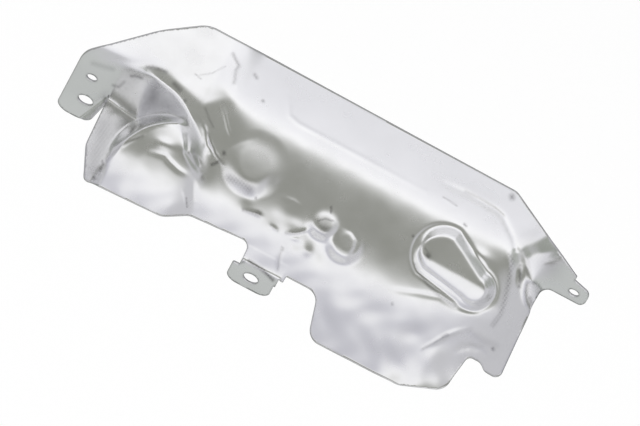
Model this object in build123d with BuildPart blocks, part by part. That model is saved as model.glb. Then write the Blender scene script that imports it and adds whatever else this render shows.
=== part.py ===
from build123d import *
import math
import os

# Heat shield for the camshaft cover of a car engine: one thin aluminium sheet, pressed into
# a shallow trough with a flange along one side and walls round the other three, and held by
# bolts through an ear, a bent tab and an end tab.
#
# Millimetres. The sheet is drawn as the press sees it: p runs along the trough, q across it
# towards the flange, and the press closes along w. The side towards +w is the hollow side,
# the one that the photograph shows. The finished part is turned at the end, so that its
# bolts stand along Z and the hole of the middle tab is the origin.

os.makedirs("parts", exist_ok=True)

# Sheet and bolts
sheet = 0.8                 # the blank, and the tabs that are only bent
thinning = 0.05             # what the press draws off each face of the rest
bolt_lean = 60.0            # angle between the bolts and the pressing direction, in degrees
main_hole = 8.0             # clearance round a bolt of 6 mm, with room to grow when hot
end_hole = 5.5              # clearance round a bolt of 5 mm
pin_hole = 5.5

# Trough, measured in its cross-section
floor_middle = 52.0         # q of the deepest line of the trough
floor_radius = 182.0        # the floor is very slightly dished
flange_foot = 73.6          # q where the flange would meet the level of the floor
flange_slope = math.tan(math.radians(38))
wall_foot = 28.5            # q where the long wall would meet the level of the floor
wall_slope = math.tan(math.radians(90 - bolt_lean))
wall_curl = (58.0, 0.0062)  # the foot of the long wall curves up from this p on
corner_round = 5.0          # how softly floor, flange and wall run into each other
lobe_start = (75.0, 15.0)   # the lobe of the long wall opens out beyond this p and q
lobe_twist = 0.00035

# Where the two ends begin
left_start = -38.0
right_start = 98.0

# Left end: a ramp, the flat pad that the ear belongs to, and a round corner pocket
ramp_foot = -42.0
ramp_slope = 0.33
ramp_top = 16.0
hip_slope = 0.30            # the broad corner above the pad
hip_foot = 71.0
hip_start = -57.0
pad_crease = 67.0           # q of the line where the pad leaves the ramp
pad_bow = (-80.0, 0.02)     # that line bows down from this p on
pad_slope = math.tan(math.radians(bolt_lean))
pad_foot = 46.0             # q of the line where the pad turns up into the end wall
end_wall_turn = 0.35
end_wall_slope = 1.1
notch_side = -105.3         # p of the notch that parts the end wall from the pad
notch_slit = 0.3
notch_tip = 47.5
pad_seam = 53.6             # q from which the pad is drawn, with the ear's plate lapped on
pocket_centre = (-60.0, 24.0)
pocket_radius = 30.0
pocket_depth = 3.0
pocket_dish = 0.33          # slope of the rim inside the pocket
pocket_wall_foot = 24.5
divide = ((-63.0, 54.0), (-43.0, 33.0))   # crease between the pocket and the ramp

# Right end: a side wall in two slopes, and the gusset that carries the end tab
side_foot = (106.5, 119.0)
side_slope = (0.27, 0.40)
side_wall_top = 57.0
side_curl = (55.0, 75.0)
gusset_fold = ((126.0, 92.0), (112.0, 76.0))
gusset_start = 120.0
gusset_height = 4.5
gusset_fall = 0.65
gusset_rise = 0.35
end_tab_start = 137.0       # p from which the end tab is flat
end_tab_hole = (146.0, 69.5)

# Pockets pressed outwards to clear what is behind the sheet: height of the bottom, then
# centre p, centre q and radius of its round end, or of both ends of the oval one
pockets = (
    (-3.0, (79.0, 56.5, 10.0), (101.5, 49.5, 7.0)),
    (-2.2, (-28.0, 52.0, 11.5)),
    (-1.8, (19.5, 42.5, 3.8)),
    (-1.0, (34.5, 38.0, 4.6)),
)
pocket_height = 13.0
pocket_taper = 38.0         # of their walls, in degrees from the pressing direction

# Middle tab, bent square off the neck of the long wall
bend_line = 6.5             # q where neck and tab would meet without a radius
bend_radius = 2.4           # on the hollow side
bend_sides = (-8.4, 12.8)   # p of the two ends of the bend
tab_half_width = 12.0
tab_end = 10.8              # from the hole to the free end
tab_shoulder = 7.2          # from the hole to the relief notches
tab_corner = 6.5

# Ear
ear_hole = (-114.8, 40.0)
ear_pin_hole = (-117.2, 51.3)
ear_round = 7.5
ear_edge = -127.0
ear_end = 30.3
ear_lap = 2.0

# Outline of the sheet, clockwise from the left end of the flange: p, q, corner radius
outline_corners = (
    (-77.5, 102.2, 16), (97.5, 100.5, 8),                              # flange
    (144.0, 76.9, 0.6), (143.4, 75.2, 0.4),                            # gusset and its notch
    (153.9, 72.6, 3.4), (153.4, 65.3, 3.4), (131.2, 65.3, 5),          # end tab
    (130.8, 55.0, 20), (133.2, 13.6, 4.2), (124.6, 14.0, 3.4),         # side wall and its foot
    (121.0, 17.0, 4), (114.2, 17.0, 3), (112.6, 6.0, 12),              # notch
    (111.6, -4.0, 10), (90.0, -12.4, 12), (39.4, -13.0, 8),            # lobe
    (33.0, 9.4, 7), (15.4, 9.4, 0.4), (15.2, 6.0, 0.4),                # neck, right side
    (bend_sides[1], 5.9, 0), (bend_sides[1], 7.6, 0), (bend_sides[0], 7.6, 0),
    (-8.8, 16.0, 5), (-42.0, 13.6, 8), (-54.0, 6.6, 9),                # neck, left side
    (-96.8, 4.7, 3), (-104.2, 21.0, 9), (notch_side, notch_tip, 0),    # end wall and notch
    (notch_side - 1.3, notch_tip, 0), (notch_side - 1.3, pad_seam, 0),
    (ear_edge, pad_seam, 0), (ear_edge, 61.0, 10), (-98.0, 88.3, 60),  # pad
)


def soft_max(a, b, width):
    """The larger of two heights, with the corner between them rounded off."""
    return 0.5 * (a + b + math.hypot(a - b, width))


def soft_min(a, b, width):
    """The smaller of two heights, with the corner between them rounded off."""
    return 0.5 * (a + b - math.hypot(a - b, width))


def soft_step(x):
    """Rises smoothly from 0 to 1 while x goes from -1 to 1."""
    x = max(-1.0, min(1.0, x))
    return 0.5 + x * (0.75 - 0.25 * x * x)


def beside(p, q, line):
    """Distance from a line, positive on its right when looking from its first point on."""
    (a, b), (c, d) = line
    return ((p - a) * (d - b) - (q - b) * (c - a)) / math.hypot(c - a, d - b)


def trough(p, q):
    """Cross-section of the trough at p: flange, dished floor and long wall."""
    floor = (q - floor_middle) ** 2 / (2 * floor_radius)
    flange = flange_slope * (q - flange_foot)
    foot = wall_foot + wall_curl[1] * max(0.0, p - wall_curl[0]) ** 2
    foot += (pocket_wall_foot - wall_foot) * soft_step((-46 - p) / 8)
    slope = wall_slope
    wall = slope * (foot - q)
    wall -= lobe_twist * max(0.0, p - lobe_start[0]) * max(0.0, lobe_start[1] - q) ** 2
    return soft_max(soft_max(floor, flange, corner_round), wall, corner_round) - 1.0


def pad_level(q):
    """Height of the flat pad, and of the ear that continues it."""
    return ramp_top + pad_slope * (q - pad_crease)


def left_end(p, q, body):
    """Ramp and hip, corner pocket, then the pad and the end wall beyond the pocket's rim."""
    ramp = soft_min(soft_max(ramp_slope * (ramp_foot - p), 0, 2.0), ramp_top, 3.0)
    hip = ramp + hip_slope * soft_max(q - hip_foot, 0, 2.0)
    on_hip = soft_step((hip_start - p) / 9) * soft_step((q - 68) / 10)
    upper = soft_max(body, ramp, 2.0) * (1 - on_hip) + hip * on_hip

    rim = math.hypot(p - pocket_centre[0], max(0.0, q - pocket_centre[1])) - pocket_radius
    lower = body - pocket_depth * soft_step((-50 - p) / 10) * soft_step((56 - q) / 8)
    lower += pocket_dish * soft_max(rim + 8.0, 0, 2.0) * soft_step((-60 - p) / 6)
    inner = soft_step(beside(p, q, divide) / 6)
    within = upper * (1 - inner) + lower * inner

    pad = pad_level(q + pad_bow[1] * max(0.0, p - pad_bow[0]) ** 2)
    end_wall = pad_level(pad_foot) + end_wall_slope * (pad_foot - q)
    end_wall -= end_wall_turn * max(0.0, p - notch_side) + 6 * max(0.0, notch_side - p)
    outer = soft_max(soft_min(upper, pad, 2.5), end_wall, 4.0)
    beyond = soft_step((rim - 2.0) / 5.0) * soft_step((-61 - p) / 7)
    return within * (1 - beyond) + outer * beyond


def right_end(p, q, body):
    """Side wall in two slopes, then the gusset that falls away to the end tab."""
    curl = max(0.0, min(q, 78.0) - side_curl[0]) ** 2 / side_curl[1]
    side = sum(rise * soft_max(p + curl - foot, 0, 2.0)
               for foot, rise in zip(side_foot, side_slope))
    side *= soft_step((side_wall_top - q) / 9 + 0.3) * 0.6 + 0.4
    right = soft_max(body, side + 0.5, 2.0) - 0.5
    along = soft_min(p, end_tab_start, 4.0) - gusset_start
    across = q - end_tab_hole[1]
    tilt = (pad_slope - gusset_rise) / (end_tab_start - gusset_start)
    gusset = gusset_height - gusset_fall * along + (gusset_rise + tilt * along) * across
    fold = soft_step(-beside(p, q, gusset_fold) / 8) * soft_step((q - 61) / 8)
    return right * (1 - fold) + gusset * fold


def depth(p, q):
    """Height of the hollow face over the deepest line of the trough."""
    body = trough(p, q)
    left, right = soft_step((left_start - p) / 6), soft_step((p - right_start) / 6)
    if left > 0:
        return body + left * (left_end(p, q, body) - body)
    if right > 0:
        return body + right * (right_end(p, q, body) - body)
    return body


def lean(p, q):
    """How much thicker the sheet is along the press than square to its face."""
    step = 1.0
    return min(2.4, math.hypot(1, (depth(p + step, q) - depth(p - step, q)) / (2 * step),
                               (depth(p, q + step) - depth(p, q - step)) / (2 * step)))


def pressed(top, bottom):
    """Loft through cross-sections, from one depth under the hollow face to another."""
    rows = [-18 + 126 * n / 24 for n in range(25)]
    stations = [-131 + 6 * n for n in range(15)] + [-41 + 15 * n for n in range(9)]
    stations += [94 + 7 * n for n in range(10)]
    even = [n / 24 for n in range(25)]
    with BuildPart() as body:
        for p in stations:
            face = [(q, depth(p, q) - top * lean(p, q)) for q in rows]
            back = [(q, depth(p, q) - bottom * lean(p, q)) for q in rows]
            with BuildSketch(Plane(origin=(p, 0, 0), x_dir=(0, 1, 0), z_dir=(1, 0, 0))):
                with BuildLine():
                    add(Edge.make_spline(face, parameters=even))
                    add(Edge.make_spline(back, parameters=even))
                    Line(face[0], back[0])
                    Line(face[-1], back[-1])
                make_face()
        loft()
    return body.part


def plunge(pocket, back):
    """What the punch takes up in a pocket, grown by back on every side."""
    bottom, *ends = pocket
    grow = back / math.cos(math.radians(pocket_taper))
    grow -= back * math.tan(math.radians(pocket_taper))
    with BuildPart() as punch:
        with BuildSketch(Plane.XY.offset(bottom - back)):
            for p, q, radius in ends:
                with Locations((p, q)):
                    Circle(radius + grow)
            if len(ends) > 1:
                make_hull()
        extrude(amount=pocket_height, taper=-pocket_taper)
    return punch.part


# Bolt frame: its Z axis is the bolts' direction, its origin the middle tab's hole
bolt_down, bolt_out = -math.sin(math.radians(bolt_lean)), math.cos(math.radians(bolt_lean))
tab_level = depth(0, bend_line) - bend_line * pad_slope
press = Plane(
    origin=(0, -tab_level * bolt_down, -tab_level * bolt_out),
    x_dir=(-1, 0, 0),
    z_dir=(0, bolt_down, bolt_out),
)


def bolt_face(p, q, level):
    """Plane square to the bolts through a point of the sheet, its y axis climbing the sheet."""
    return Plane(origin=(p, q, level), x_dir=(1, 0, 0), z_dir=(0, bolt_down, bolt_out))


# The trough and its ends. At each pocket the sheet is opened, and a cup with the same wall
# is set in from behind.
drawn = pressed(thinning, sheet - thinning)
behind = pressed(sheet / 2, 20)
for pocket in pockets:
    punch = plunge(pocket, thinning)
    cup = (plunge(pocket, sheet - thinning) & behind) - punch
    drawn = drawn - punch + cup

with BuildPart() as pressing:
    add(drawn)

    # Outline
    with BuildSketch(Plane.XY.offset(-80)) as blank:
        with BuildLine():
            Polyline(*[corner[:2] for corner in outline_corners], close=True)
        make_face()
        for p, q, radius in outline_corners:
            if radius:
                fillet(blank.vertices().sort_by_distance((p, q))[0], radius)
    extrude(amount=160, mode=Mode.INTERSECT)

    # Ear: the pad runs on as a flat flap with a round end
    ear_side = notch_side - notch_slit
    with BuildSketch(bolt_face(*ear_hole, pad_level(ear_hole[1]))) as ear:
        with BuildLine():
            Polyline(*[(p - ear_hole[0], (q - ear_hole[1]) / bolt_out) for p, q in (
                (ear_edge, ear_end), (ear_side - 3.6, ear_end), (ear_side, 43.0),
                (ear_side, pad_seam + ear_lap), (ear_edge, pad_seam + ear_lap),
            )], close=True)
        make_face()
        fillet(ear.vertices().group_by(Axis.Y)[0], ear_round)
    extrude(amount=-sheet)

    # Middle tab: the neck bends back through a right angle, then a rounded plate
    with BuildSketch(Plane(origin=(bend_sides[0], 0, 0), x_dir=(0, 1, 0), z_dir=(1, 0, 0))):
        with BuildLine():
            FilletPolyline(
                (bend_line + 2.2, depth(0, bend_line + 2.2)),
                (bend_line, depth(0, bend_line)),
                (tab_shoulder / 4, tab_level + tab_shoulder / 4 * pad_slope),
                radius=bend_radius,
            )
            offset(amount=sheet, side=Side.LEFT)
        make_face()
    extrude(amount=bend_sides[1] - bend_sides[0])
    with BuildSketch(bolt_face(0, 0, tab_level)) as tab:
        with Locations((0, (tab_shoulder - tab_end) / 2)):
            Rectangle(2 * tab_half_width, tab_shoulder + tab_end)
        fillet(tab.vertices().group_by(Axis.Y)[0], tab_corner)
        fillet(tab.vertices().group_by(Axis.Y)[-1], 1.2)
    extrude(amount=-sheet)

    # Bolt holes, all along the bolts
    for p, q, level, width in (
        (0, 0, tab_level, main_hole),
        (*ear_hole, pad_level(ear_hole[1]), main_hole),
        (*ear_pin_hole, pad_level(ear_pin_hole[1]), pin_hole),
        (*end_tab_hole, depth(*end_tab_hole), end_hole),
    ):
        with Locations(bolt_face(p, q, level)):
            Cylinder(width / 2, 12, mode=Mode.SUBTRACT)

# Turned from the press's axes into the bolts'
with BuildPart() as heat_shield:
    add(pressing.part.moved(press.location))
heat_shield.part.label = "heat_shield"
export_step(heat_shield.part, "parts/heat_shield.step")
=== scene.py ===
# %% [markdown]
# # A camshaft cover heat shield, dressed for its portrait
# A heat shield is a thin aluminium sheet, pressed to a trough that stands off the hot engine.
# The CAD model already has its true section, ends, pockets and holes. What it lacks is what
# the press and the garage leave behind: small wrinkles, scuffs and a soft, silvery skin.
# This lesson computes the sheet again, finely enough to carry those marks, and gives it the
# real thickness and finish.

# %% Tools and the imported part
import math

import bpy
import numpy as np
from mathutils import Matrix, Vector
from mathutils.geometry import delaunay_2d_cdt


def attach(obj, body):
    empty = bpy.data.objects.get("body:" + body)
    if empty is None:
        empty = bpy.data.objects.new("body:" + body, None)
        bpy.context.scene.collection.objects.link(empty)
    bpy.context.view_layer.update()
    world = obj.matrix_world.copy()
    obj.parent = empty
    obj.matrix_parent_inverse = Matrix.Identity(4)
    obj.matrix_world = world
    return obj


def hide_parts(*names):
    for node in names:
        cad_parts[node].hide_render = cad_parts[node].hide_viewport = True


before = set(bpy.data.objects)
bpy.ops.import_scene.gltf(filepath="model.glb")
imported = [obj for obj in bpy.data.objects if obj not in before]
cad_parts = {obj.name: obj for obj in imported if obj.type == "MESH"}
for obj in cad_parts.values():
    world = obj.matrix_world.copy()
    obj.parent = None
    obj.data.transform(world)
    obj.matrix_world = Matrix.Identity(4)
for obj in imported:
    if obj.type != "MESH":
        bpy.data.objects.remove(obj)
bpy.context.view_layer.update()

# %% [markdown]
# ## Press coordinates
# The part's own frame has its Z axis along the bolts. The sheet is easier to describe as the
# press saw it: p along the trough, q across it towards the flange, and a height w towards the
# hollow side. The whole sheet, tabs included, then is one height over each point (p, q), so
# numpy can work it out in one go. All values here are in millimetres.

# %% From press coordinates to the part's frame
BOLT_LEAN = math.radians(60.0)      # between the bolts and the pressing direction
SHEET = 0.8                         # thickness of the blank


def to_part_frame(p, q, w):
    """Row-frame points in metres: x is -p, and q and w are turned by the lean of the bolts."""
    s, c = math.sin(BOLT_LEAN), math.cos(BOLT_LEAN)
    w = w - TAB_LEVEL
    return np.stack([-p, -c * q - s * w, -s * q + c * w], axis=-1) / 1000.0


def soft_max(a, b, width):
    """The larger of two heights: half of their sum plus the rounded size of their difference."""
    return 0.5 * (a + b + np.hypot(a - b, width))


def soft_min(a, b, width):
    """The smaller of two heights, with the corner between them rounded off."""
    return 0.5 * (a + b - np.hypot(a - b, width))


def soft_step(x):
    """Rises smoothly from 0 to 1 while x goes from -1 to 1: a cubic with level ends."""
    x = np.clip(x, -1.0, 1.0)
    return 0.5 + x * (0.75 - 0.25 * x * x)


def beside(p, q, line):
    """Distance from a line through two points, positive on its right."""
    (a, b), (c, d) = line
    return ((p - a) * (d - b) - (q - b) * (c - a)) / math.hypot(c - a, d - b)


def off_zero(x):
    """x where it is positive, else 0."""
    return np.maximum(x, 0.0)


# in a blend such as soft_step((66.0 - q) / 9), 66 is its middle and 9 its half width, in mm
print("helpers for press coordinates are ready")

# %% [markdown]
# ## The trough
# A press tool is a stack of simple surfaces that run into each other with soft corners. The
# cross-section has three: the flange, which leans back at 38 degrees, a floor that is very
# slightly dished, and the long wall, which ends up parallel to the bolts.

# %% Cross-section of the trough
FLANGE_SLOPE = math.tan(math.radians(38))
FLANGE_FOOT = 73.6                  # q where the flange would meet the level of the floor
FLOOR_MIDDLE = 52.0                 # q of the deepest line
FLOOR_RADIUS = 182.0                # the floor is very slightly dished
WALL_SLOPE = math.tan(math.pi / 2 - BOLT_LEAN)
WALL_FOOT = 28.5                    # q where the long wall would meet the level of the floor
WALL_CURL = (58.0, 0.0062)          # p from which that foot curves up, and how fast
LEFT_FOOT_DROP = 6.0                # how much less its q is at the left end
LOBE = (75.0, 15.0, 0.00035)        # p and q from which the lobe opens out, and how fast
CORNER_ROUND = 5.0                  # how softly floor, flange and wall run into each other
PAD_SLOPE = math.tan(BOLT_LEAN)     # of every face that is square to the bolts


def trough(p, q):
    """Flange, floor and long wall: the largest of a line, a shallow parabola and a line."""
    floor = (q - FLOOR_MIDDLE) ** 2 / (2 * FLOOR_RADIUS)
    flange = FLANGE_SLOPE * (q - FLANGE_FOOT)
    foot = WALL_FOOT + WALL_CURL[1] * off_zero(p - WALL_CURL[0]) ** 2
    foot = foot - LEFT_FOOT_DROP * soft_step((-46 - p) / 8)
    wall = WALL_SLOPE * (foot - q)
    wall = wall - LOBE[2] * off_zero(p - LOBE[0]) * off_zero(LOBE[1] - q) ** 2
    return soft_max(soft_max(floor, flange, CORNER_ROUND), wall, CORNER_ROUND) - 1.0


print("slopes of flange, wall and pad:", np.round([FLANGE_SLOPE, WALL_SLOPE, PAD_SLOPE], 2))

# %% [markdown]
# ## The left end
# The floor climbs a ramp to a crease. Above the crease a broad corner, the hip, leads on to the
# flange. Beyond it the sheet drops steeply as a flat pad, square to the bolts, which carries
# the ear. Below the ramp sits a round corner pocket with a rim, and outside the rim an end
# wall turns up. Soft steps blend one form into the next, so the sheet stays in one piece.

# %% Ramp, pad, corner pocket and end wall
CREASE_ROUND = 2.0                  # how softly the sharper creases are rounded
RAMP_FOOT, RAMP_SLOPE, RAMP_TOP = -42.0, 0.33, 16.0
PAD_CREASE = 67.0                   # q of the line where the pad leaves the ramp
PAD_BOW = (-80.0, 0.02)             # p from which that line bows down, and how fast
PAD_FOOT = 46.0                     # q of the line where the pad turns up into the end wall
HIP_FOOT, HIP_SLOPE = 70.5, 0.30
HIP_BENDS = ((-84.0, -0.25), (-62.0, 0.9))   # p from which the hip's foot bends, and how fast
RIM_CENTRE, RIM_RADIUS = (-60.0, 24.0), 30.0
POCKET_DEPTH, POCKET_DISH = 3.0, 0.33
DIVIDE = ((-63.0, 54.0), (-43.0, 33.0))      # crease between the corner pocket and the ramp
END_WALL_SLOPE, END_WALL_TURN = 1.1, 0.35
NOTCH_SIDE = -105.3                 # p of the notch that parts the end wall from the pad


def pad_level(q):
    """Height of the flat pad and ear: a plane square to the bolts."""
    return RAMP_TOP + PAD_SLOPE * (q - PAD_CREASE)


def left_end(p, q, body):
    """Ramp and hip inside the crease, then pad and end wall beyond the round rim."""
    ramp = soft_max(RAMP_SLOPE * (RAMP_FOOT - p), 0.0, CREASE_ROUND)
    ramp = soft_min(ramp, RAMP_TOP, 3.0)
    foot = HIP_FOOT
    for start, turn in HIP_BENDS:
        foot = foot + turn * off_zero(p - start)
    hip = ramp + HIP_SLOPE * soft_max(q - foot, 0.0, CREASE_ROUND)
    on_hip = soft_step((-56.0 - p) / 13) * soft_step((q - foot + 2) / 8)
    upper = soft_max(body, ramp, CREASE_ROUND) * (1 - on_hip) + hip * on_hip

    rim = np.hypot(p - RIM_CENTRE[0], off_zero(q - RIM_CENTRE[1])) - RIM_RADIUS
    lower = body - POCKET_DEPTH * soft_step((-50 - p) / 10) * soft_step((56 - q) / 8)
    near_rim = soft_max(rim + 12.0, 0.0, CREASE_ROUND) * soft_step((-55 - p) / 8)
    lower = lower + POCKET_DISH * near_rim
    inner = soft_step(beside(p, q, DIVIDE) / 6)
    within = upper * (1 - inner) + lower * inner

    pad = pad_level(q + PAD_BOW[1] * off_zero(p - PAD_BOW[0]) ** 2)
    end_wall = pad_level(PAD_FOOT) + END_WALL_SLOPE * (PAD_FOOT - q)
    end_wall = end_wall - END_WALL_TURN * off_zero(p - NOTCH_SIDE)
    end_wall = end_wall - 6 * off_zero(NOTCH_SIDE - p)
    seam = 1.5 + 5.0 * soft_step((-94.0 - p) / 8)
    outer = soft_max(soft_min(upper, pad, seam), end_wall, CORNER_ROUND)
    beyond = soft_step((rim - 1.0) / 3.0) * soft_step((-61 - p) / 7)
    return within * (1 - beyond) + outer * beyond


print("the pad's crease lies at", RAMP_TOP, "mm, its foot at", round(pad_level(PAD_FOOT), 1), "mm")

# %% [markdown]
# ## The right end
# A side wall rises in two slopes and closes the trough. Above it the flange twists down, as a
# gusset, to the end tab, which again lies square to the bolts.

# %% Side wall and gusset
SIDE_RISES = ((106.5, 0.27), (119.0, 0.40))  # p where each slope of the side wall starts
END_TAB_START, END_TAB_Q = 137.0, 69.5       # p where the tab begins, q of its middle
GUSSET_START, GUSSET_HEIGHT = 120.0, 4.5
GUSSET_FALL, GUSSET_RISE = 0.65, 0.35        # slopes along p and along q at its start
UPPER_FOLD = ((126.0, 92.0), (112.0, 76.0))  # lines that bound the gusset
LOWER_FOLD = ((128.0, 57.0), (111.0, 79.0))


def right_end(p, q, body):
    """Side wall in two slopes, then the twisted gusset with the flat end tab."""
    side = sum(rise * soft_max(p - foot, 0.0, CREASE_ROUND) for foot, rise in SIDE_RISES)
    side = side * (soft_step((66.0 - q) / 9 + 0.3) * 0.6 + 0.4)
    right = soft_max(body, side + 0.5, CREASE_ROUND) - 0.5
    along = soft_min(p, END_TAB_START, 4.0) - GUSSET_START
    tilt = (PAD_SLOPE - GUSSET_RISE) / (END_TAB_START - GUSSET_START)
    gusset = GUSSET_HEIGHT - GUSSET_FALL * along + (GUSSET_RISE + tilt * along) * (q - END_TAB_Q)
    fold = soft_step(-beside(p, q, UPPER_FOLD) / 8) * soft_step(beside(p, q, LOWER_FOLD) / 8)
    fold = fold * soft_step((q - 57) / 9)
    return right * (1 - fold) + gusset * fold


print("side wall starts at p =", SIDE_RISES[0][0], "and the end tab at p =", END_TAB_START)

# %% [markdown]
# ## Clearance pockets and the bent tab
# Where something stands behind the sheet, the press pushes a pocket away from the hollow side.
# The oval one has a flared wall, a low bead round it, and a bottom that rises on the side away
# from the flange. The two small round ones are shallow cups. The large round one is a dish,
# tilted so that it is deepest on the side away from the flange. The middle tab is bent off the
# neck through a right angle: in press coordinates that is one more plane, which cuts the neck
# off along a rounded ridge.

# %% Pockets and middle tab
# p, q and radius of the two round ends
OVAL = ((79.5, 55.2, 10.5), (101.0, 47.8, 6.4))
OVAL_BOTTOM = (-3.2, 0.30, 50.5)    # its height, its rise, and the q below which it rises
BEAD = (0.55, 4.6, 1.3)             # height, distance from the oval and width
DISH = (-25.0, 51.5, 12.5)          # middle and radius
DISH_TILT, DISH_LEVEL = 0.14, 9.0   # its slope, and how far past its middle it is 0 deep
# height of the bottom at the middle, its rise towards the flange, softness of the rim, slope
# of the wall, width of wall and rim, middle and radius
ROUND_POCKETS = (
    (-1.6, 0.20, 1.3, 0.45, 4.5, (20.0, 42.5, 3.6)),
    (-0.9, 0.10, 1.4, 0.35, 5.0, (34.0, 38.5, 4.2)),
)
BEND_LINE = 6.5                     # q where neck and tab would meet without a radius
BEND_MIDDLE, BEND_REACH = 0.5, (13.2, 14.0)  # p of its middle; half its length, and its top q
LEFT_START, RIGHT_START = -38.0, 98.0        # p where the two ends begin


def off_hull(p, q, ends):
    """Distance outside a disc, or outside the belt round two discs of different radii."""
    a, b, r = ends[0]
    if len(ends) == 1:
        return np.hypot(p - a, q - b) - r
    c, d, s = ends[1]
    span = math.hypot(c - a, d - b)
    along = ((p - a) * (c - a) + (q - b) * (d - b)) / span
    across = np.abs((p - a) * (d - b) - (q - b) * (c - a)) / span
    taper = math.tan(math.asin((r - s) / span))
    t = np.clip((along + taper * across) / span, 0, 1)
    return np.hypot(along - t * span, across) - (r + t * (s - r))


def press_away(p, q, w, ends, bottom, soft, slope, reach):
    """Lower the sheet to a bottom with a flared wall; beyond the wall's reach nothing moves."""
    off = off_hull(p, q, ends)
    cut = soft_min(w, bottom + slope * soft_max(off, 0.0, 1.2), soft)
    return w + soft_step((reach - off) / 3.0) * (cut - w)


def smooth_depth(p, q):
    """Height of the hollow face before any wrinkle: trough, ends, pockets and bent tab."""
    body = trough(p, q)
    left, right = soft_step((LEFT_START - p) / 6), soft_step((p - RIGHT_START) / 6)
    w = body + left * (left_end(p, q, body) - body) + right * (right_end(p, q, body) - body)
    level, rise, start = OVAL_BOTTOM
    w = press_away(p, q, w, OVAL, level + rise * soft_max(start - q, 0.0, 1.0), 0.8, 1.2, 8.0)
    w = w + BEAD[0] * np.exp(-((off_hull(p, q, OVAL) - BEAD[1]) / BEAD[2]) ** 2)
    for middle, rise, soft, slope, reach, disc in ROUND_POCKETS:
        w = press_away(p, q, w, (disc,), middle + rise * (q - disc[1]), soft, slope, reach)
    a, b, radius = DISH
    on_dish = soft_step((radius - np.hypot(p - a, q - b)) / 5.5)
    w = w + DISH_TILT * (q - b - DISH_LEVEL) * on_dish
    on_tab = (np.abs(p - BEND_MIDDLE) < BEND_REACH[0]) & (q < BEND_REACH[1])
    bent = soft_min(w, TAB_LEVEL + PAD_SLOPE * q, CREASE_ROUND)
    return np.where(on_tab, bent, w)


neck_level = float(trough(np.array(0.0), np.array(BEND_LINE)))
TAB_LEVEL = neck_level - BEND_LINE * PAD_SLOPE
print("the middle tab's hole lies at", round(TAB_LEVEL, 2), "mm over the floor")

# %% [markdown]
# ## Outline and holes
# The blank is cut before it is pressed, so its edge is one closed line. Each corner of the
# line has its own radius. The corners of flat tabs are rounded in the tab's plane, where a
# step in q is twice as long as the press sees it.

# %% The cut edge
# p, q, corner radius, and how much the tab's plane stretches q
OUTLINE = (
    (-77.5, 102.2, 16, 1), (97.5, 100.5, 8, 1), (144.0, 76.9, 0.6, 1), (143.4, 75.2, 0.4, 1),
    (153.9, 72.6, 3.4, 1), (153.4, 65.3, 3.4, 1), (131.2, 65.3, 5, 1), (130.8, 55.0, 20, 1),
    (133.2, 13.6, 4.2, 1), (124.6, 14.0, 3.4, 1), (121.0, 17.0, 4, 1), (114.2, 17.0, 3, 1),
    (112.6, 6.0, 12, 1), (111.6, -4.0, 10, 1), (90.0, -12.4, 12, 1), (39.4, -13.0, 8, 1),
    (33.0, 9.4, 7, 1), (15.4, 9.4, 0.4, 1), (15.2, 6.0, 0.4, 1), (12.8, 5.9, 0, 1),
    (12.8, 1.8, 0, 1), (12.0, 1.8, 0, 1), (12.0, -5.4, 6.5, 2), (-12.0, -5.4, 6.5, 2),
    (-12.0, 3.6, 1.2, 2), (-8.4, 3.6, 0, 1), (-8.4, 7.6, 0, 1), (-8.8, 16.0, 5, 1),
    (-42.0, 13.6, 8, 1), (-54.0, 6.6, 9, 1), (-96.8, 4.7, 3, 1), (-104.2, 21.0, 9, 1),
    (-105.3, 47.5, 0, 1), (-105.6, 47.5, 0, 1), (-105.6, 43.0, 0, 1), (-109.2, 30.3, 7.5, 2),
    (-127.0, 30.3, 7.5, 2), (-127.0, 61.0, 10, 1), (-98.0, 88.3, 60, 1),
)
# p, q and radius: middle tab, ear, small hole of the ear, end tab
HOLES = ((0.0, 0.0, 4.0), (-114.8, 40.0, 4.0), (-117.2, 51.3, 2.75), (146.0, 69.5, 2.75))
STEP = 0.76                         # spacing of the points inside the sheet
ARC_STEP = 0.7                      # and round the corners of its outline
HOLE_POINTS = 72


def corner_points(before, corner, after):
    """Points of the arc that touches both sides of a corner, or the corner itself."""
    radius, stretch = corner[2], np.array([1.0, corner[3]])
    a, b, c = (np.array(v[:2]) * stretch for v in (before, corner, after))
    if not radius:
        return b[None] / stretch
    u, v = (a - b) / np.linalg.norm(a - b), (c - b) / np.linalg.norm(c - b)
    half = math.acos(float(np.clip(u @ v, -1, 1))) / 2
    shorter = min(np.linalg.norm(a - b), np.linalg.norm(c - b))
    reach = min(radius / math.tan(half), 0.49 * shorter)
    radius = reach * math.tan(half)
    centre = b + (u + v) / np.linalg.norm(u + v) * radius / math.sin(half)
    start, end = b + u * reach - centre, b + v * reach - centre
    turn = math.pi - 2 * half
    t = np.linspace(0, 1, max(3, int(radius * turn / ARC_STEP)))[:, None]
    arc = (np.sin((1 - t) * turn) * start + np.sin(t * turn) * end) / math.sin(turn)
    return (centre + arc) / stretch


def cut_edge(corners):
    """The whole outline: rounded corners, and points every STEP along the straight sides."""
    n = len(corners)
    line = np.concatenate([corner_points(corners[i - 1], corners[i], corners[(i + 1) % n])
                           for i in range(n)])
    ends = np.roll(line, -1, axis=0)
    pieces = []
    for a, b in zip(line, ends):
        k = max(1, int(np.linalg.norm(b - a) / STEP))
        pieces.append(a + (b - a) * (np.arange(k) / k)[:, None])
    return np.concatenate(pieces)


def hole_edge(p, q, radius):
    """A round hole in a plane square to the bolts: half as wide in q as in p."""
    t = np.linspace(0, 2 * np.pi, HOLE_POINTS, endpoint=False)
    return np.stack([p + radius * np.cos(t), q + 0.5 * radius * np.sin(t)], axis=-1)


edge = cut_edge(OUTLINE)
hole_edges = [hole_edge(*hole) for hole in HOLES]
print("cut edge:", len(edge), "points;", len(hole_edges), "holes")

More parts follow.
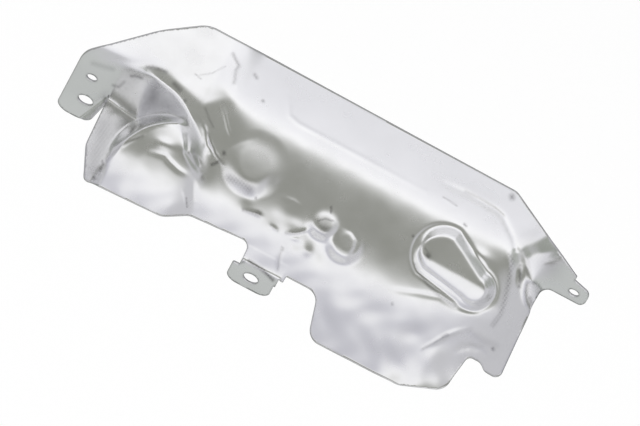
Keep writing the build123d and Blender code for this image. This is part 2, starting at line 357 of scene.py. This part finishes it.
# %% [markdown]
# ## Filling the outline with points
# Inside the edge goes an even triangular grid. A point counts as inside when a line from it
# crosses the edge an odd number of times, and points too close to an edge are left out so
# that no sliver triangles appear.

# %% Points of the sheet
def inside(points, loop):
    """Even-odd rule: how often a line towards +p crosses the loop, for all points at once."""
    a, b = loop[None, :, :], np.roll(loop, -1, axis=0)[None, :, :]
    p, q = points[:, None, 0], points[:, None, 1]
    spans = (a[..., 1] > q) != (b[..., 1] > q)
    rise = np.where(b[..., 1] == a[..., 1], 1e-9, b[..., 1] - a[..., 1])
    at = a[..., 0] + (q - a[..., 1]) * (b[..., 0] - a[..., 0]) / rise
    return (np.sum(spans & (at > p), axis=1) % 2) == 1


def gap_to(points, loop):
    """Distance from each point to the nearest point of the loop."""
    near = np.full(len(points), np.inf)
    for part in np.array_split(loop, max(1, len(loop) // 40)):
        d = np.linalg.norm(points[:, None, :] - part[None], axis=2).min(axis=1)
        near = np.minimum(near, d)
    return near


P_RANGE, Q_RANGE = (-130.0, 157.0), (-15.0, 104.0)
EDGE_GAP, HOLE_GAP = 0.55 * STEP, 0.45 * STEP
rows = np.arange(*Q_RANGE, STEP * math.sqrt(3) / 2)
cols = np.arange(*P_RANGE, STEP)
grid_q, grid_p = np.meshgrid(rows, cols, indexing="ij")
grid_p = grid_p + (np.arange(len(rows)) % 2)[:, None] * STEP / 2
points = np.stack([grid_p.ravel(), grid_q.ravel()], axis=-1)
points = points[inside(points, edge)]
points = points[gap_to(points, edge) > EDGE_GAP]
for loop in hole_edges:
    points = points[~inside(points, loop)]
    points = points[gap_to(points, loop) > HOLE_GAP]
print("grid points inside the sheet:", len(points))

# %% [markdown]
# ## Joining the points to triangles
# A Delaunay triangulation joins the points without long thin faces and keeps the cut edge and
# the holes as given. What lies inside a hole is then taken out.

# %% Triangles
loops = [edge] + hole_edges
flat = np.concatenate(loops + [points])
starts = np.cumsum([0] + [len(loop) for loop in loops])
rings = [list(range(starts[i], starts[i + 1])) for i in range(len(loops))]
flat_out, _, faces, *_ = delaunay_2d_cdt([Vector(v) for v in flat.tolist()], [], rings, 1, 1e-6)
flat_out = np.array([tuple(v) for v in flat_out])
faces = np.array(faces)
middle = flat_out[faces].mean(axis=1)
for p, q, radius in HOLES:
    in_hole = np.hypot(middle[:, 0] - p, 2 * (middle[:, 1] - q)) < radius * 0.995
    faces, middle = faces[~in_hole], middle[~in_hole]
corner_a, corner_b, corner_c = (flat_out[faces[:, i]] for i in range(3))
area = np.cross(corner_b - corner_a, corner_c - corner_a)
faces[area < 0] = faces[area < 0][:, ::-1]
print("triangles of one face:", len(faces))

# %% [markdown]
# ## What handling leaves behind
# Thin aluminium remembers every push. Short creases stand up where the metal was crowded in
# the press, mostly on the divide beside the corner pocket, and shallow dents lie on the broad
# faces. Each crease is a line of points with a width and a height, and its profile is a bell
# curve across the line that dies out at the ends. Sculpting by hand would do it too, but a
# list of lines can be read, measured against the photo and changed one at a time.

# %% Bell curves across a line and round a point
def line_distance(p, q, line):
    """Distance to a polyline, and how far along it, from 0 to 1, the nearest point lies."""
    best, along = np.full(p.shape, np.inf), np.zeros(p.shape)
    for i in range(len(line) - 1):
        (a, b), (c, d) = line[i], line[i + 1]
        t = np.clip(((p - a) * (c - a) + (q - b) * (d - b)) / ((c - a) ** 2 + (d - b) ** 2), 0, 1)
        gap = np.hypot(p - a - t * (c - a), q - b - t * (d - b))
        along = np.where(gap < best, (i + t) / (len(line) - 1), along)
        best = np.minimum(best, gap)
    return best, along


def crease(p, q, line, width, height):
    """Bell curve across a polyline, faded towards both ends."""
    gap, along = line_distance(p, q, line)
    fade = np.sin(np.pi * np.clip(along, 0.04, 0.96)) ** 0.6
    return height * np.exp(-(gap / width) ** 2) * fade


def dent(p, q, at, size, height):
    """Smooth round dent or bump: a bell curve in both directions."""
    return height * np.exp(-((p - at[0]) / size[0]) ** 2 - ((q - at[1]) / size[1]) ** 2)


print("helpers for creases and dents are ready")

# %% Creases and dents
# line of points p and q, width and height
CREASES = (
    # hip and pad
    (((-94, 66.5), (-88, 66.5), (-77, 63.7), (-66.5, 58.4), (-58.5, 53), (-50.5, 47)), 1.3, 0.42),
    (((-123, 64), (-114, 65), (-104, 67), (-97, 69), (-90, 71.5)), 2.6, -0.9),
    (((-60, 95), (-55, 91), (-54, 85), (-50, 79.5)), 1.2, -0.3),
    # arcs of crowded metal over the corner pocket
    (((-88, 35), (-84.6, 42.5), (-80.7, 47), (-75.4, 50.8), (-67.5, 55)), 1.3, -0.5),
    (((-82, 40), (-80, 43.3), (-77, 46.5), (-72.7, 48.8)), 1.0, -0.3),
    (((-90.7, 17.7), (-88.3, 28), (-85.5, 32.4), (-81, 37.7)), 1.0, -0.35),
    (((-74, 32.3), (-66.5, 34), (-62.9, 32.5), (-57.5, 31), (-51.7, 30.6)), 1.4, 0.45),
    (((-49.4, 31.8), (-46.2, 25.6), (-43, 19.8)), 2.2, 0.5),
    (((-50.6, 23.2), (-47.4, 20.4), (-44.8, 16.7)), 0.9, -0.2),
    # wrinkles of the divide
    (((-63.8, 50), (-60, 45.4), (-57.5, 40.5), (-53.8, 38), (-46, 34)), 1.5, 0.8),
    (((-54.6, 42.6), (-51.7, 40.2), (-47.8, 37.2)), 1.3, 0.6),
    (((-57.5, 57.5), (-54, 54), (-51, 49.6), (-49.6, 45.8)), 1.3, 0.6),
    (((-51, 49.6), (-47.6, 47.5), (-46, 45.5)), 1.3, 0.5),
    (((-53.6, 54.5), (-49.9, 50.8), (-45, 47), (-39, 44)), 1.0, -0.4),
    (((-53.5, 70.3), (-49.6, 66.2), (-45.3, 61.2), (-41, 57.2)), 0.9, 0.35),
    # floor and long wall
    (((-42, 50.5), (-39.5, 54.6), (-37, 58), (-30, 64)), 1.5, 0.12),
    (((-9.6, 49.5), (-6.2, 53.6), (-3, 58.6), (-2, 63)), 1.5, 0.12),
    (((-3.7, 43.6), (0.6, 44.2), (4.8, 43.6)), 1.2, 0.18),
    (((5, 28.4), (9, 30.5), (13, 34), (15.3, 36.7)), 1.0, -0.45),
    (((7.9, 27.2), (12.8, 28.6)), 0.8, -0.25),
    (((-19.4, 28.5), (-12.3, 30), (-9.4, 29.9)), 1.2, -0.4),
    (((-3.9, 28.2), (1, 27.4)), 0.9, -0.3),
    (((30, 44.5), (34, 44.4), (38, 42), (39, 38), (39, 32.4)), 1.3, 0.35),
    (((6.5, 21.3), (7.8, 15.7), (10, 10.2)), 1.2, -0.3),
    (((64.3, 27.7), (78.5, 33), (88, 36), (97, 35), (113, 39.4)), 1.5, 0.3),
    (((92.7, 9.4), (96.4, 15.3), (100, 21.2), (102.8, 24.4), (106.6, 28)), 1.2, -0.5),
    # flange
    (((63.7, 87.4), (74.6, 88.1), (92, 87.6), (97, 86.4), (106.4, 79.5), (110.5, 75)), 1.4, 1.0),
    (((-25, 88), (-21, 81), (-15, 79.5), (20, 79.5), (57, 79.5)), 1.2, -0.4),
    (((66, 81.2), (74, 80.5)), 0.8, -0.15),
    # side wall and gusset
    (((116, 69), (118.2, 64.8), (120.5, 59.3)), 1.2, -0.45),
    (((113.6, 76.5), (118.2, 72.2), (122, 67), (125, 61)), 2.2, -0.6),
    (((107.5, 15.6), (109.7, 19), (113, 21.3), (118, 22.3), (123, 20.4)), 1.8, 0.6),
    (((109, 28.8), (116, 28), (123.6, 28), (125.6, 26.3)), 2.2, -0.4),
)
# place, size along p and q, height
DENTS = (
    ((-15, 43), (3.0, 9.0), 0.3), ((2, 35), (8.0, 5.0), -0.4), ((25.5, 29), (4.0, 4.5), 0.6),
    ((17.2, 31), (3.5, 4.0), 0.6), ((19.2, 25.2), (2.2, 2.2), -0.5),
    ((12.7, 25.7), (3.0, 3.0), 0.4),
    ((-19.5, 34.5), (3.5, 3.5), 0.6), ((-3.4, 32.5), (4.5, 5.0), 0.5), ((7.3, 34), (6.0, 3.0), 0.4),
    ((95.5, 64), (7.0, 3.0), -0.6), ((74, 4), (6.0, 6.0), -0.5), ((99, 9), (7.0, 7.0), -0.8),
    ((86, 14), (6.0, 5.0), 0.6), ((129, 55), (4.0, 4.0), -0.4), ((-98.6, 47.5), (1.5, 1.5), 0.4),
    ((-93, 12), (2.5, 5.0), -0.3), ((-46, 84), (4.0, 8.0), 0.4), ((-69, 39), (5.0, 2.5), -0.5),
    ((30, 25), (6.0, 5.0), 0.5),
    ((46, 8), (9.0, 7.0), -0.9), ((60, 14), (8.0, 7.0), 0.7), ((84, -4), (7.0, 7.0), 0.9),
    ((96, 2), (5.0, 8.0), -0.7),
)
print(len(CREASES), "creases and", len(DENTS), "dents")

# %% [markdown]
# ## Dark lines and rub marks
# Bare aluminium looks dark where it has been rubbed, and it carries small scuffs. The darkening
# laid along the grooves of the creases, in the middle tab's bend and round the pockets is painted
# shade. The marks belong to places on the sheet, so each is a line with a half width and a
# strength, broken up by a grain. The outcome is one number for each point, which the finish
# reads later. Painting an image would be the other way, but it needs a file beside the scene.

# %% Dark marks, rubs and painted shade
# lines and spots that darken the metal, with their half width and strength. The short strokes
# and spots are scuffs. The lines in the grooves of the creases, in the middle tab's bend and notch,
# round the rims of the dish and the small pocket, and the broad bands over the divide and the
# gusset's fold are painted shade. The broad band at p = -98 darkens the steep end wall.
MARKS_AND_PAINTED_SHADE = (
    (((-100.3, 61.3), (-98, 62.5), (-95, 63)), 0.7, 0.7),
    (((-106, 53), (-103, 53.7), (-102, 57)), 0.8, 0.5),
    (((-95.3, 69), (-92.7, 70.5), (-89, 71.2), (-85.8, 71.3)), 1.0, 0.7),
    (((-79.4, 68), (-75.4, 66.7)), 1.3, 0.6), (((-70.8, 63.2), (-70.4, 62.8)), 0.8, 0.6),
    (((-106.6, 45.5), (-105, 42.4)), 1.2, 0.7),
    (((-120, 58), (-110, 60)), 1.4, 0.25),
    (((-87.5, 36.5), (-86.5, 40), (-84, 43)), 0.9, 0.6),
    (((-84, 43), (-80.7, 47), (-75.4, 50.8), (-67.5, 55)), 0.8, 0.35),
    (((-91, 17), (-90, 23), (-88.3, 28), (-85.5, 32.4), (-81, 37.7)), 0.7, 0.35),
    (((-93.1, 17), (-92, 15.9)), 0.7, 0.8), (((-91.9, 13.7), (-91.7, 12)), 0.7, 0.8),
    (((-92.9, 7.8), (-92.5, 7.4)), 1.0, 0.8), (((-101, 34), (-98, 22), (-95, 12)), 5.0, 0.4),
    # painted shade: broad dark bands over the divide and over the gusset's fold
    (((-61, 52), (-50, 39)), 5.0, 0.3), (((117, 82), (130, 76)), 7.0, 0.24),
    (((-47.4, 20.4), (-44.8, 16.7)), 0.5, 0.5),
    (((-60.4, 95), (-57.7, 93), (-55, 91), (-55.3, 88.6)), 0.8, 0.5),
    (((-55.3, 88.6), (-54, 85), (-53.2, 82.4)), 0.9, 0.4),
    (((-46, 91), (-44.3, 90)), 0.9, 0.5), (((-36.3, 81.3), (-36, 81.2)), 0.8, 0.6),
    (((-70, 78), (-65, 81.7), (-61, 87.8)), 0.4, 0.3), (((-72.5, 77.3), (-68.7, 76.5)), 0.4, 0.4),
    (((-60, 64.6), (-56, 61), (-52, 58)), 0.6, 0.35),
    (((-53.6, 54.5), (-49.9, 50.8), (-45, 47), (-42, 45.4), (-39, 44)), 0.6, 0.5),
    (((-43.8, 41.2), (-41.7, 43.8)), 0.9, 0.8), (((-41.3, 49.4), (-41, 48.8)), 0.9, 0.8),
    (((-45.5, 33.4), (-44.6, 32.6)), 1.0, 0.4), (((-16.6, 37), (-16.4, 36.6)), 0.6, 0.7),
    # painted shadow along the lower rim of the dish
    (((-33, 39.2), (-27.5, 40), (-21.5, 39.6)), 2.7, 0.6),
    (((-19.4, 28.5), (-15.8, 29.2), (-12.3, 30)), 0.8, 0.6),
    (((-12.5, 30.2), (-11, 30.4)), 1.4, 0.6),
    (((-3.9, 28.2), (1, 27.4)), 0.5, 0.5), (((5, 28.4), (9, 30.5), (13, 33.8)), 0.7, 0.5),
    # the broad spot at p 20.5, q 39 is painted shade at the small pocket's lower rim
    (((16.3, 41.2), (18.9, 43.8), (22.9, 44.8)), 0.5, 0.7), (((20.5, 39.8), (21, 38.6)), 2.8, 0.45),
    (((18.8, 50.5), (20.2, 47.8)), 0.5, 0.8), (((6.5, 21.3), (7.8, 15.7), (10, 10.2)), 0.6, 0.35),
    (((7, 20.8), (7.3, 20)), 0.8, 0.5),
    # painted shade in the middle tab's bend and at its notch
    (((-4.8, 7.3), (2.8, 6.7), (8.3, 5.2), (10.3, 4.6)), 0.9, 0.9),
    (((-11.4, 3.9), (-8.3, 4.4), (-6.4, 6.4)), 0.7, 0.6),
    (((19.2, 25.4), (19.2, 25)), 1.6, 0.25),
    (((61.7, 57), (61.9, 56.8)), 0.6, 0.8), (((81.6, 74.2), (82.8, 73.8)), 0.6, 0.7),
    (((96.2, 97.6), (96.5, 97.2)), 1.5, 0.7), (((66, 81.2), (74, 80.5)), 0.4, 0.4),
    (((74.6, 88.9), (83, 89.3), (92, 88.6), (97, 87.3)), 0.8, 0.3),
    (((69, 45), (72.5, 42.4), (79.6, 38.9), (87.5, 36.6), (96.5, 35.6)), 0.9, 0.45),
    (((72.9, 51.8), (73.3, 51.4)), 1.4, 0.8), (((69.9, 54.4), (72, 53.2), (75.2, 50)), 0.4, 0.4),
    (((116, 69), (118.2, 64.8), (120.5, 59.3)), 0.9, 0.6),
    (((113.6, 76.5), (118.2, 72.2), (122, 67)), 1.6, 0.3),
    (((128, 57), (130.5, 54.4)), 1.0, 0.6), (((123.4, 26), (123.8, 25.6)), 0.8, 0.7),
    (((92.7, 9.4), (96.4, 15.3), (100, 21.2)), 0.6, 0.45), (((98.5, 19), (100, 21.2)), 0.9, 0.5),
    (((68.4, 22.2), (68.6, 21.8)), 0.7, 0.5), (((109, 28.8), (116, 28), (123.6, 28)), 2.0, 0.15),
)
# a rubbed line up the side wall
RUB_LINE = ((109, 71.3), (111.6, 68.7), (113.7, 62.5), (117.4, 50.2), (118.7, 42.5), (118, 36.4))
RUB_WIDTH, RUB_STRENGTH = 1.3, 0.5


# Darkness over the sheet: rubs and scuffs, and painted shade in crease grooves, bends and pocket
# rims.
def wear_and_painted_shade(p, q):
    """How dark the metal is, from 0 to 1: bell curves over the marks, broken up by a grain.

    The grain is the product of two slanting sine waves.
    """
    grain = 0.5 + 0.5 * np.sin(2.9 * p + 1.7 * q) * np.sin(2.3 * q - 1.1 * p)
    dark = np.zeros(p.shape)
    for line, width, strength in MARKS_AND_PAINTED_SHADE:
        gap, _ = line_distance(p, q, line)
        dark = np.maximum(dark, strength * (0.55 + 0.45 * grain) * np.exp(-(gap / width) ** 2))
    gap, _ = line_distance(p, q, RUB_LINE)
    return np.maximum(dark, RUB_STRENGTH * grain * np.exp(-(gap / RUB_WIDTH) ** 2))


print(len(MARKS_AND_PAINTED_SHADE), "marks and one rubbed line")

# %% [markdown]
# ## The handled sheet
# A thin sheet is never quite even. A faint waviness runs over the whole face, and more of it
# over the long wall and its lobe, which nothing stiffens. Sine waves that bend each other give
# it without random numbers, so it comes out the same each time. Creases and dents go on top.

# %% The handled sheet
WAVE = 0.02                         # height of the waviness everywhere
WALL_WAVE, WALL_Q = 0.14, 22.0      # what the long wall has on top, and the q of its edge


def depth(p, q):
    """The pressed height with a faint waviness, its creases and its dents added."""
    w = smooth_depth(p, q)
    wave = np.sin(0.36 * p + 0.9 * np.sin(0.21 * q)) * np.sin(0.31 * q + 0.7 * np.sin(0.17 * p))
    w = w + (WAVE + WALL_WAVE * soft_step((WALL_Q - q) / 8)) * wave
    for line, width, height in CREASES:
        w = w + crease(p, q, line, width, height)
    for at, size, height in DENTS:
        w = w + dent(p, q, at, size, height)
    return w


height = depth(flat_out[:, 0], flat_out[:, 1])
place = to_part_frame(flat_out[:, 0], flat_out[:, 1], height)
print("hollow face spans", np.round(place.min(axis=0), 4), np.round(place.max(axis=0), 4), "m")

# %% [markdown]
# ## The sheet as a mesh
# The hollow face is a mesh of these points. How dark the metal is, from scuffs and painted
# shade, goes along as an attribute, one number for each point, and the cut edges get a little
# more of it as a painted dark rim.

# %% Mesh and thickness
TO_CAMERA = Vector((0.0, -math.sin(BOLT_LEAN), math.cos(BOLT_LEAN)))   # against the press
# painted shade: a thin dark band along every cut edge stands in for the edge's dark reflection
EDGE_PAINTED_SHADE, EDGE_WIDTH = 0.35, 0.5     # how dark cut edges are, and how far in

mesh = bpy.data.meshes.new("heat_shield_skin")
mesh.vertices.add(len(place))
mesh.vertices.foreach_set("co", place.astype(np.float32).ravel())
mesh.loops.add(3 * len(faces))
mesh.loops.foreach_set("vertex_index", faces.astype(np.int32).ravel())
mesh.polygons.add(len(faces))
mesh.polygons.foreach_set("loop_start", np.arange(0, 3 * len(faces), 3, dtype=np.int32))
mesh.polygons.foreach_set("use_smooth", np.ones(len(faces), dtype=bool))
mesh.update()
mesh.validate()
dark = wear_and_painted_shade(flat_out[:, 0], flat_out[:, 1])
for loop in loops:
    dark = np.maximum(dark, EDGE_PAINTED_SHADE * np.exp(-(gap_to(flat_out, loop) / EDGE_WIDTH) ** 2))
# the attribute holds scuffs and rubs together with the painted shade
wear_and_shade_layer = mesh.attributes.new("wear_and_painted_shade", "FLOAT", "POINT")
wear_and_shade_layer.data.foreach_set("value", dark.astype(np.float32))
print("tarnish covers", round(100 * float((dark > 0.2).mean()), 1), "% of the face")

# %% [markdown]
# ## Thickness
# The real sheet is one blank of even thickness. A Solidify modifier adds it on the far side,
# which leaves a true cut edge all round and in every hole, and it can be changed in one place.
# The last lines say which body the skin rides on and which node it replaces.

# %% Object, thickness and its place in the part
skin = bpy.data.objects.new("heat_shield_skin", mesh)
bpy.context.collection.objects.link(skin)
facing = sum(face.normal @ TO_CAMERA for face in mesh.polygons[:200]) / 200
print("mean normal against the press:", round(facing, 2))

thickness = skin.modifiers.new("sheet thickness", "SOLIDIFY")
thickness.thickness = SHEET / 1000.0
thickness.offset = -1.0
thickness.use_even_offset = False
thickness.use_rim = True
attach(skin, "root")
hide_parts("heat_shield")
print("skin:", len(mesh.polygons), "triangles before its thickness")

# %% [markdown]
# ## Two helpers for nodes
# A finish is a tree of nodes, and two kinds come up again and again: one brings a number into
# another range, and one mixes two colours. A short function for each keeps the tree readable.

# %% Two node helpers
def ranged(tree, value, start, end, low=0.0, high=1.0):
    """Low at the start of a range and high at its end, in proportion between."""
    node = tree.nodes.new("ShaderNodeMapRange")
    for name, number in (("From Min", start), ("From Max", end), ("To Min", low), ("To Max", high)):
        node.inputs[name].default_value = number
    tree.links.new(value, node.inputs["Value"])
    return node.outputs["Result"]


def mixed(tree, first, second, factor):
    """A colour between two: the first is a colour or a socket, the second a colour."""
    node = tree.nodes.new("ShaderNodeMix")
    node.data_type = "RGBA"
    if isinstance(first, tuple):
        node.inputs["A"].default_value = (*first, 1.0)
    else:
        tree.links.new(first, node.inputs["A"])
    node.inputs["B"].default_value = (*second, 1.0)
    tree.links.new(factor, node.inputs["Factor"])
    return node.outputs["Result"]


print("node helpers are ready")

# %% [markdown]
# ## Aluminium
# Bare rolled aluminium is a metal with a pale, slightly cool colour and a satin gloss. A
# little noise in its roughness and a very fine relief keep the reflections from looking like
# a mirror, as on any sheet that has been through a press. A broader noise hazes the colour,
# and where the darkness attribute is high, at scuffs and rubs and where shade is painted into
# creases, pocket rims and cut edges, the metal turns dark.

# %% Finish of the sheet
# the darkest colour serves scuffs and the shade painted into creases, pocket rims and cut edges
PALE, BRIGHT, SOILED_AND_SHADED = (0.82, 0.82, 0.83), (0.97, 0.97, 0.98), (0.14, 0.135, 0.14)
FINE_NOISE, HAZE_NOISE = (60.0, 5.0), (22.0, 4.0)    # scale and detail
GLOSS = (0.20, 0.30)                                 # least and most roughness
RELIEF = (0.08, 0.0004)                              # strength, and height in metres


def aluminium(name):
    """Satin metal: noise on Object coordinates drives its roughness, relief and haze."""
    material = bpy.data.materials.new(name)
    material.use_nodes = True
    tree = material.node_tree
    nodes, links = tree.nodes, tree.links
    shader = nodes["Principled BSDF"]
    shader.inputs["Metallic"].default_value = 1.0
    place_node = nodes.new("ShaderNodeTexCoord")

    def noise(scale, detail):
        """Noise on the Object coordinates."""
        node = nodes.new("ShaderNodeTexNoise")
        node.inputs["Scale"].default_value = scale
        node.inputs["Detail"].default_value = detail
        links.new(place_node.outputs["Object"], node.inputs["Vector"])
        return node.outputs["Fac"]

    cloud = noise(*FINE_NOISE)
    links.new(ranged(tree, cloud, 0.3, 0.7, *GLOSS), shader.inputs["Roughness"])
    relief = nodes.new("ShaderNodeBump")
    relief.inputs["Strength"].default_value, relief.inputs["Distance"].default_value = RELIEF
    links.new(cloud, relief.inputs["Height"])
    links.new(relief.outputs["Normal"], shader.inputs["Normal"])
    # this attribute darkens the metal at scuffs and where shade is painted into creases, rims and
    # edges
    marks = nodes.new("ShaderNodeAttribute")
    marks.attribute_name = "wear_and_painted_shade"
    clean = mixed(tree, PALE, BRIGHT, noise(*HAZE_NOISE))
    links.new(mixed(tree, clean, SOILED_AND_SHADED, marks.outputs["Fac"]), shader.inputs["Base Color"])
    return material


mesh.materials.append(aluminium("pressed aluminium"))
print("finish:", mesh.materials[0].name)

# %% [markdown]
# ## A tent of light
# A bright metal shows its surroundings more than itself, so its photographer builds them: a
# white tent, a dark opening where the camera looks in, which reaches on towards one side, a
# smaller opening in one corner, and greyer cloth at the other side and towards the back. The
# tent is a large ball that only reflections see. The plain white world lights all the rest.

# %% Tones of the tent
TENT_Q = Vector((0.0, -math.cos(BOLT_LEAN), -math.sin(BOLT_LEAN)))     # towards the flange
TENT_P = Vector((-1.0, 0.0, 0.0))                                      # towards the end tab
# angle from the camera towards the flange, in degrees, and the tent's colour there
TENT_TONES = (
    (-180, (0.30, 0.32, 0.30)), (-120, (0.55, 0.57, 0.55)), (-90, (0.57, 0.57, 0.59)),
    (-76, (0.86, 0.86, 0.89)), (-50, (0.98, 0.98, 1.00)), (-30, (1.12, 1.12, 1.12)),
    (-20, (0.56, 0.565, 0.54)), (-12, (0.295, 0.30, 0.27)), (12, (0.295, 0.30, 0.27)),
    (20, (0.56, 0.565, 0.54)), (30, (1.08, 1.08, 1.08)), (44, (0.95, 0.95, 0.97)),
    (60, (0.62, 0.62, 0.67)), (90, (0.46, 0.46, 0.49)), (120, (0.29, 0.29, 0.30)),
    (180, (0.20, 0.21, 0.20)),
)
# middle along q and p, and size along both, of the two openings that are not in the tones
SIDE_OPENING, SIDE_DARK = (0.0, 0.45, 0.34, 0.42), (0.295, 0.30, 0.27)
CORNER_OPENING, CORNER_DARK = (-0.60, -0.66, 0.27, 0.27), (0.36, 0.38, 0.34)
SIDE_CLOTH, CLOTH_EDGE = (0.60, 0.60, 0.62), (-0.30, -0.55)            # colour, and along p
print(len(TENT_TONES), "tones from behind the wall round to behind the flange")

# %% [markdown]
# ## Cloth that glows by direction
# A picture of a studio could be wrapped round the ball, but a few nodes do it without a file.
# The angle of each place on the ball, from the camera towards the flange, picks its tone from
# the list, and the side cloth and the two openings are laid over that.

# %% Cloth of the tent
def tent_material():
    """Glow by direction: arctangent of the flange and camera parts of the place on the ball."""
    material = bpy.data.materials.new("tent cloth")
    material.use_nodes = True
    tree = material.node_tree
    tree.nodes.clear()
    nodes, links = tree.nodes, tree.links
    place_node = nodes.new("ShaderNodeTexCoord")
    unit = nodes.new("ShaderNodeVectorMath")
    unit.operation = "NORMALIZE"
    links.new(place_node.outputs["Object"], unit.inputs[0])

    def part_along(axis):
        """Part of the direction along an axis: a dot product."""
        dot = nodes.new("ShaderNodeVectorMath")
        dot.operation = "DOT_PRODUCT"
        dot.inputs[1].default_value = axis
        links.new(unit.outputs["Vector"], dot.inputs[0])
        return dot.outputs["Value"]

    def maths(operation, *values):
        """One Math node."""
        node = nodes.new("ShaderNodeMath")
        node.operation = operation
        for socket, value in zip(node.inputs, values):
            if isinstance(value, (int, float)):
                socket.default_value = value
            else:
                links.new(value, socket)
        return node.outputs["Value"]

    def opening(q_middle, p_middle, q_size, p_size):
        """1 inside an ellipse of directions and 0 outside, with a soft edge."""
        u = maths("DIVIDE", maths("SUBTRACT", along_q, q_middle), q_size)
        v = maths("DIVIDE", maths("SUBTRACT", along_p, p_middle), p_size)
        reach = maths("SQRT", maths("ADD", maths("MULTIPLY", u, u), maths("MULTIPLY", v, v)))
        return ranged(tree, reach, 1.15, 0.75)

    along_q, along_c, along_p = part_along(TENT_Q), part_along(TO_CAMERA), part_along(TENT_P)
    angle = maths("ARCTAN2", along_q, along_c)
    ramp = nodes.new("ShaderNodeValToRGB")
    ramp.color_ramp.interpolation = "EASE"
    stops = ramp.color_ramp.elements
    for i, (degrees, colour) in enumerate(TENT_TONES):
        at = degrees / 360.0 + 0.5
        stop = stops[i] if i < 2 else stops.new(at)
        stop.position = at
        stop.color = (*colour, 1.0)
    links.new(maths("MULTIPLY_ADD", angle, 0.5 / math.pi, 0.5), ramp.inputs["Fac"])

    in_front = ranged(tree, along_c, 0.0, 0.3)
    side = maths("MULTIPLY", opening(*SIDE_OPENING), in_front)
    cloth = mixed(tree, ramp.outputs["Color"], SIDE_DARK, side)
    cloth = mixed(tree, cloth, SIDE_CLOTH, ranged(tree, along_p, *CLOTH_EDGE))
    cloth = mixed(tree, cloth, CORNER_DARK, opening(*CORNER_OPENING))
    glow = nodes.new("ShaderNodeEmission")
    links.new(cloth, glow.inputs["Color"])
    end = nodes.new("ShaderNodeOutputMaterial")
    links.new(glow.outputs["Emission"], end.inputs["Surface"])
    return material


print("tent cloth is ready")

# %% Ball that carries the cloth
TENT_RADIUS = 6.0

bpy.ops.mesh.primitive_uv_sphere_add(segments=96, ring_count=48, radius=TENT_RADIUS)
tent = bpy.context.object
tent.name = "reflection_tent"
tent.data.materials.append(tent_material())
tent.visible_camera = False
tent.visible_diffuse = False
tent.visible_shadow = False
tent.visible_transmission = False
print("tent: a ball of", TENT_RADIUS, "m that only reflections see")

# %% [markdown]
# ## Floor and light
# A white floor below keeps a faint shadow, and an even white sky lights everything at the
# level where a colour looks as it is written.

# %% Floor and sky
FLOOR_SIZE, FLOOR_LEVEL = 12.0, -0.42

bpy.ops.mesh.primitive_plane_add(size=FLOOR_SIZE, location=(0.0, 0.0, FLOOR_LEVEL))
floor = bpy.context.object
floor.name = "white_floor"
paper = bpy.data.materials.new("white paper")
paper.use_nodes = True
matt = paper.node_tree.nodes["Principled BSDF"]
matt.inputs["Base Color"].default_value = (1.0, 1.0, 1.0, 1)
matt.inputs["Roughness"].default_value = 1.0
matt.inputs["Specular IOR Level"].default_value = 0.0
floor.data.materials.append(paper)
floor.visible_glossy = False

world = bpy.data.worlds.new("white sky")
world.use_nodes = True
world.node_tree.nodes["Background"].inputs["Color"].default_value = (1, 1, 1, 1)
world.node_tree.nodes["Background"].inputs["Strength"].default_value = 1.0
bpy.context.scene.world = world
bpy.context.scene.view_settings.view_transform = "Standard"
print("floor at", FLOOR_LEVEL, "m under a white sky")

# %% [markdown]
# ## Camera
# The camera looks along the pressing direction, straight into the hollow side, and is turned
# so that the shield lies slantwise. It is orthographic, which keeps one scale over the whole
# shield, 0.5 mm to a pixel, so that the photo can be measured with it.

# %% Camera
TURN = math.radians(28.0)           # of the trough's line in the picture
RIGHT = math.cos(TURN) * TENT_P + math.sin(TURN) * TENT_Q    # from the directions of p and q
UP = TO_CAMERA.cross(RIGHT)
PICTURE_MIDDLE = (15.3, 45.2)       # p and q that the camera aims at
PICTURE_WIDTH, DISTANCE = 0.32, 1.5

aim = Vector(to_part_frame(*(np.array(v) for v in (*PICTURE_MIDDLE, 0.0))).tolist())
lens = bpy.data.cameras.new("camera")
lens.type = "ORTHO"
lens.ortho_scale = PICTURE_WIDTH
camera = bpy.data.objects.new("camera", lens)
place_of_camera = aim + DISTANCE * TO_CAMERA
camera.matrix_world = Matrix((
    (RIGHT.x, UP.x, TO_CAMERA.x, place_of_camera.x),
    (RIGHT.y, UP.y, TO_CAMERA.y, place_of_camera.y),
    (RIGHT.z, UP.z, TO_CAMERA.z, place_of_camera.z),
    (0, 0, 0, 1),
))
bpy.context.collection.objects.link(camera)
bpy.context.scene.camera = camera
print("camera looks along", np.round(-np.array(TO_CAMERA), 3))
